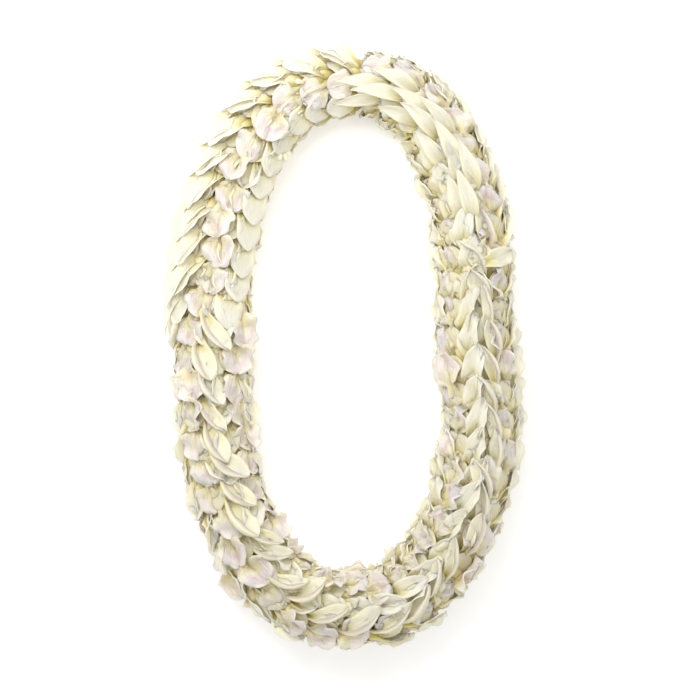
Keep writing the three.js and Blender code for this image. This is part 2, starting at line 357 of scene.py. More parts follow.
def petal_cup(s):
    """The height of a petal at a share of its half width: raised margins, and a crease down its middle."""
    return (2.6 * abs(s) ** 2 - 0.6 * math.exp(-((s / 0.2) ** 2))) * MM


petal_sheet = flat_sheet("petal", PETAL_COLUMNS, len(PETAL_ROWS) - 1, PETAL_WIDTH, PETAL_LENGTH)
cup_columns(petal_sheet, PETAL_WIDTH, petal_cup)
shape_rows(petal_sheet, PETAL_LENGTH, PETAL_ROWS)
thicken(petal_sheet, PETAL_THICKNESS)
PETAL = take_pattern(petal_sheet, PETAL_FINISH)

# A petal that its neighbours have pressed: one margin is turned over onto its hollow face, like a hem.
HEMMED_COLUMNS = 14
HEM_CREST_AT = 7 * MM
HEM_WIDTH = 5.2 * MM
HEM_RISE = 2.0 * MM
FACE_WIDTH = 15.5 * MM
HEM_RIM_AND_SHADE_SPREAD = 0.25
FACE_RIM_DRAWN_IN = 0.1
HEMMED_ROWS = [
    (0.00, 0.16, 0.4),
    (0.16, 0.24, 0.6),
    (0.30, 0.36, 0.8),
    (0.40, 0.54, 1.0),
    (0.50, 0.76, 1.15),
    (0.60, 0.94, 1.2),
    (0.70, 1.00, 1.1),
    (0.79, 0.93, 1.0),
    (0.87, 0.74, 0.8),
    (0.93, 0.50, 0.6),
    (0.97, 0.28, 0.4),
    (1.00, 0.02, 0.1),
]


def hemmed_place(s):
    """The share of the half width at which a column of the hemmed petal ends up."""
    return (HEM_CREST_AT - (FACE_WIDTH * s if s > 0 else -HEM_WIDTH * s)) / (PETAL_WIDTH / 2)


def hemmed_height(s):
    """The height of the hemmed petal at a share of its half width: its face, or the hem over it."""
    if s > 0:
        return (-2.2 * math.sin(math.pi * s ** 0.8) + 0.8 * s * s) * MM
    return HEM_RISE * math.sin(math.pi * 0.8 * (-s) ** 0.55)


hemmed_sheet = flat_sheet(
    "hemmed_petal", HEMMED_COLUMNS, len(HEMMED_ROWS) - 1, PETAL_WIDTH, PETAL_LENGTH
)
cup_columns(hemmed_sheet, PETAL_WIDTH, hemmed_height, hemmed_place)
shape_rows(hemmed_sheet, PETAL_LENGTH, HEMMED_ROWS)
thicken(hemmed_sheet, PETAL_THICKNESS)
HEMMED_PETAL = take_pattern(hemmed_sheet, SEPAL_FINISH)
# The colour of the rim shows on the whole hem, and hardly at the far margin of the face: on the hem it is the
# lavender-grey margin and also painted shade of the groove under the hem.
hem_share = np.clip(1 - 2 * HEMMED_PETAL["uv"][:, 0], 0, 1)
face_share = np.clip(2 * HEMMED_PETAL["uv"][:, 0] - 1, 0, 1)
rim_and_shade_moved = 0.5 * (hem_share - hem_share ** HEM_RIM_AND_SHADE_SPREAD) - FACE_RIM_DRAWN_IN * face_share
HEMMED_PETAL["uv"][:, 0] += rim_and_shade_moved

# A sepal: folded along its middle like a boat, with a round base and a long point.
SEPAL_LENGTH = 43 * MM
SEPAL_WIDTH = 15 * MM
SEPAL_COLUMNS = 8
SEPAL_FOLD = 1.1
SEPAL_RIM_DRAWN_IN = 0.84
SEPAL_ROWS = [
    (0.00, 0.20, 0.3),
    (0.16, 0.40, 0.5),
    (0.32, 0.62, 0.7),
    (0.44, 0.86, 0.9),
    (0.52, 0.98, 1.05),
    (0.60, 1.00, 1.1),
    (0.68, 0.90, 1.0),
    (0.77, 0.70, 0.85),
    (0.86, 0.46, 0.65),
    (0.94, 0.22, 0.4),
    (1.00, 0.02, 0.1),
]
sepal_sheet = flat_sheet("sepal", SEPAL_COLUMNS, len(SEPAL_ROWS) - 1, SEPAL_WIDTH, SEPAL_LENGTH)
cup_columns(
    sepal_sheet, SEPAL_WIDTH,
    lambda s: SEPAL_WIDTH / 2 / SEPAL_FOLD * (1 - math.cos(SEPAL_FOLD * s)),
    lambda s: math.sin(SEPAL_FOLD * s) / SEPAL_FOLD,
)
shape_rows(sepal_sheet, SEPAL_LENGTH, SEPAL_ROWS)
thicken(sepal_sheet, PETAL_THICKNESS)
SEPAL = take_pattern(sepal_sheet, SEPAL_FINISH)
# Its margins take less of the colour of the rim.
SEPAL["uv"] = (SEPAL["uv"] - (0.5, 0)) * (SEPAL_RIM_DRAWN_IN, 1) + (0.5, 0)

# The chin: the hollow spur, like a bulb, that the bases of the side sepals and the foot of the column make.
CHIN_LENGTH = 25 * MM
CHIN_WIDTH = 13.5 * MM
CHIN_WIDTH_SHARES = [0.16, 0.5, 0.78, 0.95, 1.0, 0.88, 0.6]
CHIN_POLES_FROM = 0.99
CHIN_SAME_ROW = 1e-4
CHIN_COLOURED_AS = ((0.5, 0.3), (0.25, 0.36))
bpy.ops.object.select_all(action="DESELECT")
bpy.ops.mesh.primitive_uv_sphere_add(segments=10, ring_count=8, radius=1, rotation=(-math.pi / 2, 0, 0))
chin = bpy.context.active_object
bpy.ops.object.transform_apply(location=False, rotation=True, scale=False)
bpy.ops.object.mode_set(mode="EDIT")
bpy.ops.mesh.select_mode(type="VERT")
chin_mesh = bmesh.from_edit_mesh(chin.data)
chin_places = sorted({round(v.co.y, 5) for v in chin_mesh.verts if abs(v.co.y) < CHIN_POLES_FROM})
for y, wide in zip(chin_places, CHIN_WIDTH_SHARES):
    pick(chin, lambda co: abs(co.y - y) < CHIN_SAME_ROW)
    widen = wide / math.sqrt(1 - y * y)
    bpy.ops.transform.resize(value=(widen, 1, widen), center_override=(0, y, 0))
bpy.ops.mesh.select_all(action="SELECT")
bpy.ops.transform.translate(value=(0, 1, 0))
bpy.ops.transform.resize(value=(CHIN_WIDTH / 2, CHIN_LENGTH / 2, CHIN_WIDTH / 2), center_override=(0, 0, 0))
bpy.ops.object.mode_set(mode="OBJECT")
CHIN = take_pattern(chin, PETAL_FINISH)
# It has the colours of the middle of a petal, with no rim.
CHIN["uv"] = CHIN["uv"] * CHIN_COLOURED_AS[0] + CHIN_COLOURED_AS[1]

# The column: a short blunt club over the throat, with a cap on its end and a hollow under it.
COLUMN_LENGTH = 9 * MM
COLUMN_RADIUS = 1.4 * MM
COLUMN_FOOT = 3 * MM
# From the foot on: how far each step goes, how much wider it gets and how far it rises.
COLUMN_STEPS = ((2.2, 1.25, 0.2), (1.8, 1.2, 0.3), (1.2, 0.8, -0.2), (0.8, 0.45, -0.4))
COLUMN_COLOURED_AS = ((0.4, 0.1), (0.3, 0.5))
bpy.ops.object.select_all(action="DESELECT")
bpy.ops.mesh.primitive_cylinder_add(
    vertices=8, radius=COLUMN_RADIUS, depth=COLUMN_FOOT, rotation=(-math.pi / 2, 0, 0)
)
column = bpy.context.active_object
bpy.ops.object.transform_apply(location=False, rotation=True, scale=False)
bpy.ops.object.mode_set(mode="EDIT")
bpy.ops.mesh.select_mode(type="VERT")
bpy.ops.mesh.select_all(action="SELECT")
bpy.ops.transform.translate(value=(0, COLUMN_FOOT / 2, 0))
bpy.ops.mesh.select_mode(type="FACE")
column_mesh = bmesh.from_edit_mesh(column.data)
for face in column_mesh.faces:
    face.select_set(face.normal.y > 0.9)
bmesh.update_edit_mesh(column.data)
for onward, wider, lift in COLUMN_STEPS:
    bpy.ops.mesh.extrude_region_move(TRANSFORM_OT_translate={"value": (0, onward * MM, lift * MM)})
    bpy.ops.transform.resize(value=(wider, 1, wider))
bpy.ops.object.mode_set(mode="OBJECT")
COLUMN = take_pattern(column, SEPAL_FINISH)
COLUMN["uv"] = COLUMN["uv"] * COLUMN_COLOURED_AS[0] + COLUMN_COLOURED_AS[1]


# ---- Looks of the petals ----------------------------------------------------------------------------------
# Waxy living tissue: ivory, yellow-green towards the root, with fine lengthwise veins and a little light let
# through. The lip has a cream throat and a lavender blush that runs out along its veins. The roots lie deep
# in the rope, so their yellow-green is partly the tissue's own colour and partly painted shade.
ALONG_STRETCH = 1.6
SEED_STEP = 37.0
MOTTLE_STRETCH = (0.12, 2.0, 1.0)
CRINKLE_STRETCH = (0.28, 3.2, 1.0)
THROAT_AT = (0.5, 0.47, 0.0)
THROAT_STRETCH = (1.5, 1.9, 0.0)
vein_group = bpy.data.node_groups.new("petal_veins", "ShaderNodeTree")
vein_face = vein_group.interface
for name, kind in (("Place", "NodeSocketVector"), ("Seed", "NodeSocketFloat"), ("Lines", "NodeSocketFloat")):
    vein_face.new_socket(name=name, in_out="INPUT", socket_type=kind)
for name in ("Veins", "Mottle", "Along", "Rim", "Reach", "Crinkle", "Crease"):
    vein_face.new_socket(name=name, in_out="OUTPUT", socket_type="NodeSocketFloat")
nodes, links = vein_group.nodes, vein_group.links
given = nodes.new("NodeGroupInput")
result = nodes.new("NodeGroupOutput")
split = put(nodes, "SeparateXYZ")
links.new(given.outputs["Place"], split.inputs[0])
# Veins: noise drawn out along the petal, so that it makes lines, each copy with its own.
wide = put(nodes, "Math", operation="MULTIPLY")
links.new(split.outputs["X"], wide.inputs[0])
links.new(given.outputs["Lines"], wide.inputs[1])
long = put(nodes, "Math", operation="MULTIPLY")
links.new(split.outputs["Y"], long.inputs[0])
long.inputs[1].default_value = ALONG_STRETCH
seeded = put(nodes, "Math", operation="MULTIPLY")
links.new(given.outputs["Seed"], seeded.inputs[0])
seeded.inputs[1].default_value = SEED_STEP
line_place = put(nodes, "CombineXYZ")
links.new(wide.outputs[0], line_place.inputs["X"])
links.new(long.outputs[0], line_place.inputs["Y"])
links.new(seeded.outputs[0], line_place.inputs["Z"])
lines = put(nodes, "TexNoise", Scale=1.0, Detail=2.0, Roughness=0.6)
links.new(line_place.outputs[0], lines.inputs["Vector"])
sharp = put(nodes, "MapRange", **{"From Min": 0.42, "From Max": 0.66})
links.new(lines.outputs["Fac"], sharp.inputs["Value"])
links.new(sharp.outputs[0], result.inputs["Veins"])
# Mottle: broad patches in which the colours of the lip come and go.
mottle_place = put(nodes, "VectorMath", operation="MULTIPLY")
links.new(line_place.outputs[0], mottle_place.inputs[0])
mottle_place.inputs[1].default_value = MOTTLE_STRETCH
mottle = put(nodes, "TexNoise", Scale=1.0, Detail=1.0)
links.new(mottle_place.outputs[0], mottle.inputs["Vector"])
links.new(mottle.outputs["Fac"], result.inputs["Mottle"])
links.new(split.outputs["Y"], result.inputs["Along"])
# Crinkle: low folds a few millimetres wide that run along the petal, for its bump.
crinkle_place = put(nodes, "VectorMath", operation="MULTIPLY")
links.new(line_place.outputs[0], crinkle_place.inputs[0])
crinkle_place.inputs[1].default_value = CRINKLE_STRETCH
crinkle = put(nodes, "TexNoise", Scale=1.0, Detail=3.0, Roughness=0.55, Distortion=0.6)
links.new(crinkle_place.outputs[0], crinkle.inputs["Vector"])
links.new(crinkle.outputs["Fac"], result.inputs["Crinkle"])
# Reach: the distance from the throat of a lip, 0 in it and about 1 at the far margins.
from_throat = put(nodes, "VectorMath", operation="SUBTRACT")
links.new(given.outputs["Place"], from_throat.inputs[0])
from_throat.inputs[1].default_value = THROAT_AT
stretched = put(nodes, "VectorMath", operation="MULTIPLY")
links.new(from_throat.outputs[0], stretched.inputs[0])
stretched.inputs[1].default_value = THROAT_STRETCH
reach = put(nodes, "VectorMath", operation="LENGTH")
links.new(stretched.outputs[0], reach.inputs[0])
links.new(reach.outputs["Value"], result.inputs["Reach"])
# Rim: 1 at the two side edges, falling to 0 a little way in.
centred = put(nodes, "Math", operation="SUBTRACT")
links.new(split.outputs["X"], centred.inputs[0])
centred.inputs[1].default_value = 0.5
distance = put(nodes, "Math", operation="ABSOLUTE")
links.new(centred.outputs[0], distance.inputs[0])
rim = put(nodes, "MapRange", **{"From Min": 0.37, "From Max": 0.48})
links.new(distance.outputs[0], rim.inputs["Value"])
links.new(rim.outputs[0], result.inputs["Rim"])
# Crease: 1 along the middle line, falling to 0 at a third of the half width.
crease = put(nodes, "MapRange", **{"From Min": 0.17, "From Max": 0.02})
links.new(distance.outputs[0], crease.inputs["Value"])
links.new(crease.outputs[0], result.inputs["Crease"])

# Deep inside the rope, at these distances from the string, the colour turns olive yellow-green: partly the
# tissue's own, partly painted shade for the crevices between the petals.
DEEP_SHADE_FROM = 29 * MM
DEEP_SHADE_TO = 22 * MM
DEEP_SHADE_COLOUR = "d3bd5a"
DEEP_SHADE_SHARE = 0.8
AGE_SHARE = 0.3


def petal_material(
    name, lines, along, rim_and_shade_colour, rim_and_shade_share, vein_colour, vein_share, age_colour, folds=0.5, blush=None
):
    """A petal finish: colours along its length, at its rim (on the sepals partly painted shade) and in its
    veins, its age, a lip's blush, and painted shade deep in the rope.
    """
    material, nodes, links = new_material(name)
    shader = nodes["Principled BSDF"]
    shader.inputs["Roughness"].default_value = 0.42
    shader.inputs["Specular IOR Level"].default_value = 0.35
    shader.inputs["Subsurface Weight"].default_value = 0.85
    shader.inputs["Subsurface Radius"].default_value = (1.0, 0.96, 0.86)
    shader.inputs["Subsurface Scale"].default_value = 0.002
    uv = put(nodes, "UVMap", uv_map="petal")
    seed = put(nodes, "Attribute", attribute_name="bloom")
    veins = nodes.new("ShaderNodeGroup")
    veins.node_tree = vein_group
    veins.inputs["Lines"].default_value = lines
    links.new(uv.outputs["UV"], veins.inputs["Place"])
    links.new(seed.outputs["Fac"], veins.inputs["Seed"])
    ramp = put(nodes, "ValToRGB")
    while len(ramp.color_ramp.elements) < len(along):
        ramp.color_ramp.elements.new(0.5)
    for element, (share, colour) in zip(ramp.color_ramp.elements, along):
        element.position = share
        element.color = linear(colour)
    links.new(veins.outputs["Along"], ramp.inputs["Fac"])
    colour = ramp.outputs["Color"]

    def tint(colour, share, mask, with_colour):
        """Mixes a colour in by a mask, to at most the given share."""
        amount = put(nodes, "Math", operation="MULTIPLY")
        links.new(mask, amount.inputs[0])
        amount.inputs[1].default_value = share
        mix = put(nodes, "Mix", data_type="RGBA")
        links.new(amount.outputs[0], mix.inputs["Factor"])
        links.new(colour, mix.inputs["A"])
        mix.inputs["B"].default_value = linear(with_colour)
        return mix.outputs["Result"]

    if blush:
        # The blush begins beside the throat, soon reaches its full strength and fades to the margins.
        spread = put(nodes, "ValToRGB")
        ends = spread.color_ramp.elements
        ends[0].position, ends[0].color = 0.16, (0, 0, 0, 1)
        ends[1].position, ends[1].color = 0.8, (0.12, 0.12, 0.12, 1)
        peak = ends.new(0.34)
        peak.color = (1, 1, 1, 1)
        links.new(veins.outputs["Reach"], spread.inputs["Fac"])
        uneven = put(
            nodes, "MapRange", **{"From Min": 0.35, "From Max": 0.65, "To Min": 0.2, "To Max": 1.0}
        )
        links.new(veins.outputs["Mottle"], uneven.inputs["Value"])
        patch = put(nodes, "Math", operation="MULTIPLY")
        links.new(spread.outputs["Color"], patch.inputs[0])
        links.new(uneven.outputs[0], patch.inputs[1])
        colour = tint(colour, blush["wash"], patch.outputs[0], blush["colour"])
        fold_line = put(nodes, "Math", operation="MULTIPLY")
        links.new(veins.outputs["Crease"], fold_line.inputs[0])
        links.new(uneven.outputs[0], fold_line.inputs[1])
        colour = tint(colour, blush["crease"], fold_line.outputs[0], blush["colour"])
        streak = put(nodes, "Math", operation="MULTIPLY")
        links.new(patch.outputs[0], streak.inputs[0])
        links.new(veins.outputs["Veins"], streak.inputs[1])
        colour = tint(colour, blush["streaks"], streak.outputs[0], blush["colour"])
        throat = put(nodes, "MapRange", **{"From Min": 0.26, "From Max": 0.1})
        links.new(veins.outputs["Reach"], throat.inputs["Value"])
        colour = tint(colour, blush["throat_share"], throat.outputs[0], blush["throat_colour"])
    colour = tint(colour, vein_share, veins.outputs["Veins"], vein_colour)
    colour = tint(colour, AGE_SHARE, seed.outputs["Fac"], age_colour)
    # The rim: the petals' own lavender-grey margins; the sepals' darker grey rim is also painted shade along
    # their folds and hems.
    colour = tint(colour, rim_and_shade_share, veins.outputs["Rim"], rim_and_shade_colour)
    # Painted shade: the colour turns olive deep in the rope, where the crevices between the petals lie in
    # shade.
    depth = put(nodes, "Attribute", attribute_name="depth")
    inside = put(nodes, "MapRange", **{"From Min": DEEP_SHADE_FROM, "From Max": DEEP_SHADE_TO})
    links.new(depth.outputs["Fac"], inside.inputs["Value"])
    colour = tint(colour, DEEP_SHADE_SHARE, inside.outputs[0], DEEP_SHADE_COLOUR)
    links.new(colour, shader.inputs["Base Color"])
    crinkles = put(nodes, "Bump", Strength=folds, Distance=0.0022)
    links.new(veins.outputs["Crinkle"], crinkles.inputs["Height"])
    ridges = put(nodes, "Bump", Strength=0.5, Distance=0.0003)
    links.new(veins.outputs["Veins"], ridges.inputs["Height"])
    links.new(crinkles.outputs["Normal"], ridges.inputs["Normal"])
    links.new(ridges.outputs["Normal"], shader.inputs["Normal"])
    return material


# The yellow-green at the root end of each ramp is partly the tissue's own colour and partly painted shade of
# the crevices where the roots lie.
PETAL_MATERIALS = [
    petal_material(
        "lip_blush", lines=26,
        along=[(0.3, "e6d996"), (0.45, "ede2b4"), (0.54, "eee4cc"), (0.64, "eadfd3")],
        rim_and_shade_colour="ddd0c8", rim_and_shade_share=0.4, vein_colour="d8c9c6", vein_share=0.45, age_colour="e8dcc8",
        folds=0.8, blush=dict(
            colour="ab7296", wash=0.22, crease=0.4, streaks=0.9, throat_colour="eee3b6", throat_share=0.9
        ),
    ),
    petal_material(
        "petal_ivory", lines=30,
        along=[(0.14, "e4d486"), (0.33, "eee4b8"), (0.48, "f4eccf"), (0.95, "f6f0dd")],
        rim_and_shade_colour="ded3bf", rim_and_shade_share=0.45, vein_colour="e9dfbf", vein_share=0.35, age_colour="eee5c2",
    ),
    # Its dark grey rim is partly the margin's own lavender-grey and partly painted shade under folded margins
    # and hems.
    petal_material(
        "sepal_cream", lines=22,
        along=[(0.14, "e0cf74"), (0.33, "ecdfaa"), (0.5, "f1e8c4"), (0.95, "f1e9d0")],
        rim_and_shade_colour="a2959a", rim_and_shade_share=0.85, vein_colour="e0d5aa", vein_share=0.4, age_colour="e8ddb2",
    ),
]


# ---- Sewing the rings -------------------------------------------------------------------------------------
# Four blossoms at a time go on the needle, lips outward, at a quarter turn from each other. The rings are
# pushed tight together, so every petal bends back along the rope and lies over the next ring like a shingle.
ROPE_RADIUS = 30.5 * MM
TIE_PINCH = 0.16
TIE_PINCH_SHARE = 0.045
# How far the rows of lips have wound round the rope, in degrees, at shares of the way round the loop.
ROW_TURNS = [
    (0.0, 0), (0.2, 6), (0.25, 44), (0.32, 38), (0.4, 18), (0.45, 24), (0.5, 48), (0.65, 50), (0.8, 42),
    (0.93, 34), (1.0, 34),
]
# What hangs lower than the first of these heights is pressed up, so that the second lies on the table.
PRESS_FROM = 6 * MM
PRESS_LOWEST = -2.7 * MM
TABLE_CLEARANCE = 0.05 * MM
LIP_SEWN = dict(length=44.5 * MM, rise=80, end=7, curl=0.62, root=9 * MM, shift=-8 * MM)
OVER_PETAL_SEWN = dict(length=43 * MM, rise=79, end=8, curl=0.68, root=7.5 * MM, shift=-2.5 * MM)
UNDER_PETAL_SEWN = dict(length=33 * MM, rise=82, end=9, curl=0.72, root=8 * MM, shift=2.5 * MM)
PETAL_SPLAY = 20
PETAL_ROOT_TURN = 22
# The share of a petal's length at which its free end begins, and how much a fold draws in its margins.
FREE_FROM = 0.3
FOLD_NARROWS = 12
DRAW_STEPS = (127.1, 311.7, 74.7)
DRAW_SPREAD = 43758.5453
FIRST_TONE_DRAW = 60


def draw(i, j, k):
    """A repeatable draw from -1 to 1 for ring i, blossom j and quantity k."""
    wave = math.sin(i * DRAW_STEPS[0] + j * DRAW_STEPS[1] + k * DRAW_STEPS[2]) * DRAW_SPREAD
    return 2 * (wave - math.floor(wave)) - 1


def row_turn(share):
    """How far the rows of lips have turned at a share of the way round, in degrees."""
    for (start, here), (end, there) in zip(ROW_TURNS, ROW_TURNS[1:]):
        if share <= end:
            t = (share - start) / (end - start)
            return here + (there - here) * t * t * (3 - 2 * t)
    return ROW_TURNS[-1][1]


def ring_frame(i):
    """Where ring i is on the string, how the rope bends there, its rows' turn and its size by the tie."""
    ends = string_at(TIE_GAP / 2 + (i + np.arange(-1, 3)) * RING_SPACING)
    before, after = ends[1] - ends[0], ends[3] - ends[2]
    cosine = before @ after / (np.linalg.norm(before) * np.linalg.norm(after))
    share = (i + 0.5) / RING_COUNT
    near_tie = min(share, 1 - share) / TIE_PINCH_SHARE
    return dict(
        ring=i,
        distance=TIE_GAP / 2 + (i + 0.5) * RING_SPACING,
        bend=math.acos(min(1, cosine)) / (2 * RING_SPACING),
        turn=row_turn(share),
        scale=1 - TIE_PINCH * math.exp(-near_tie * near_tie),
    )


def in_rope(ring, places):
    """Places in the rope: along the string, outwards and up, bent with the loop and pressed on the table."""
    x, y, z = places.T
    distance = ring["distance"] + x / (1 + ring["bend"] * np.maximum(0, y))
    along, outward = string_way(distance)
    points = string_at(distance) + outward * y[:, None]
    points[:, 2] += z
    low = points[:, 2] < PRESS_FROM
    pressed = PRESS_FROM * (points[low, 2] - PRESS_LOWEST) / (PRESS_FROM - PRESS_LOWEST)
    points[low, 2] = np.maximum(pressed, TABLE_CLEARANCE)
    return points


def sewn(
    ring, pattern, seed, length, rise, end, curl, root, shift, turn, splay, width=1.0, high=1.0,
    roll=0.0, twist=0.0, fold=0.0, wave=0.0, lift=0.0, sway=0.0, hug=1.0,
):
    """A copy of a petal, bent from its root on the string out to the side of the rope and then along it.

    rise and end are its slopes off the rope at root and tip, and curl is the share of its length that bends.
    root and shift are where it starts, out from the string and along it. turn is its place round the rope,
    and splay its turn away from the rope's run. roll and twist turn it about its own middle line, and fold,
    wave, lift and sway are what the press of its neighbours does to it. hug lays it round the rope. Gives
    its points and their distances from the string."""
    across, along, above = pattern["points"].T
    share = along / pattern["length"]
    s = pattern["edge"]
    full = np.clip(4 * share, 0, 1) * ring["scale"]
    above = above * high * ring["scale"] + fold * full * np.abs(s) ** 1.2
    # Its waves: along the margins, over the whole petal, fine ones at the margins, and slanting ones.
    above = above + wave * full * np.abs(s) ** 3 * np.sin(20 * share + 9 * seed + 1.3 * np.sign(s))
    above = above + 0.5 * wave * full * np.sin(11 * share + 3 * s + 7 * seed)
    above = above + 0.35 * wave * full * np.abs(s) ** 2 * np.sin(36 * share + 17 * seed + 2.1 * np.sign(s))
    above = above + 0.18 * wave * full * np.sin(24 * share - 8 * s + 5 * seed)
    across = across * width * ring["scale"] * (1 - FOLD_NARROWS * abs(fold) * np.abs(s))
    # Its turn about its own middle line, and the set of its free end.
    turned = np.radians(roll + twist * share)
    across, above = (
        across * np.cos(turned) - above * np.sin(turned),
        across * np.sin(turned) + above * np.cos(turned),
    )
    free = np.maximum(0, share - FREE_FROM) ** 2
    across, above = across + sway * free, above + lift * free
    # Its way out from the string, round the bend and straight on along the rope.
    turn, splay, rise, fall = (math.radians(a) for a in (turn, splay, rise, rise - end))
    out = np.array([0, math.sin(turn), math.cos(turn)])
    beside = np.array([0, math.cos(turn), -math.sin(turn)])
    ahead = np.array([1.0, 0, 0])
    heading = math.cos(splay) * ahead + math.sin(splay) * beside
    side = math.cos(splay) * beside - math.sin(splay) * ahead
    curled = np.minimum(share, curl)
    slope = rise - fall * curled / curl
    normal = np.cos(slope)[:, None] * out - np.sin(slope)[:, None] * heading
    length = length * ring["scale"]
    arc = length * curl / fall
    straight = length * (share - curled)
    forward = arc * (math.sin(rise) - np.sin(slope)) + straight * np.cos(slope)
    outwards = arc * (np.cos(slope) - math.cos(rise)) + straight * np.sin(slope)
    sideways = forward * math.sin(splay) + across * math.cos(splay)
    wrap = hug * sideways ** 2 / (2 * ROPE_RADIUS)
    places = (
        shift * ahead
        + (root + outwards)[:, None] * out
        + forward[:, None] * heading
        + across[:, None] * side
        + (above - wrap)[:, None] * normal
    )
    return in_rope(ring, places), np.hypot(places[:, 1], places[:, 2]) / ring["scale"]


# Each pattern also keeps its length, and for each point the share of the half width, from -1 to 1.
for pattern, pattern_length in (
    (LIP, LIP_LENGTH), (PETAL, PETAL_LENGTH), (HEMMED_PETAL, PETAL_LENGTH), (SEPAL, SEPAL_LENGTH),
    (COLUMN, COLUMN_LENGTH), (CHIN, CHIN_LENGTH),
):
    edge = np.zeros(len(pattern["points"]))
    edge[np.concatenate([np.array(face) for face in pattern["faces"]])] = 2 * pattern["uv"][:, 0] - 1
    pattern["edge"] = edge
    pattern["length"] = pattern_length

# At the upper left, where the rope was laid down first, outer petals of the top row fan out like feathers.
FAN_RINGS = (-1, 10.5)
FAN_FADE = 1.5
# Rings are counted from the tie on. The last of them reach over the knot, and their inner rows are short.
CALM_LIPS_UNTIL = 12
RIGHT_SIDE_FROM = 25
BEFORE_TIE_FROM = 41
SHORT_FROM = 44
SHORT_LENGTHS = {2: 0.75, 3: 0.85}
OVER_KNOT_FROM = 46
OVER_KNOT_LENGTH = 1.15
DEEP_CHINS = (2, 44)


def fan_share(i):
    """How much ring i belongs to the fan, from 0 to 1."""
    inside = min(i - FAN_RINGS[0], FAN_RINGS[1] - i) / FAN_FADE
    return min(1, max(0, 0.5 + 0.5 * inside))


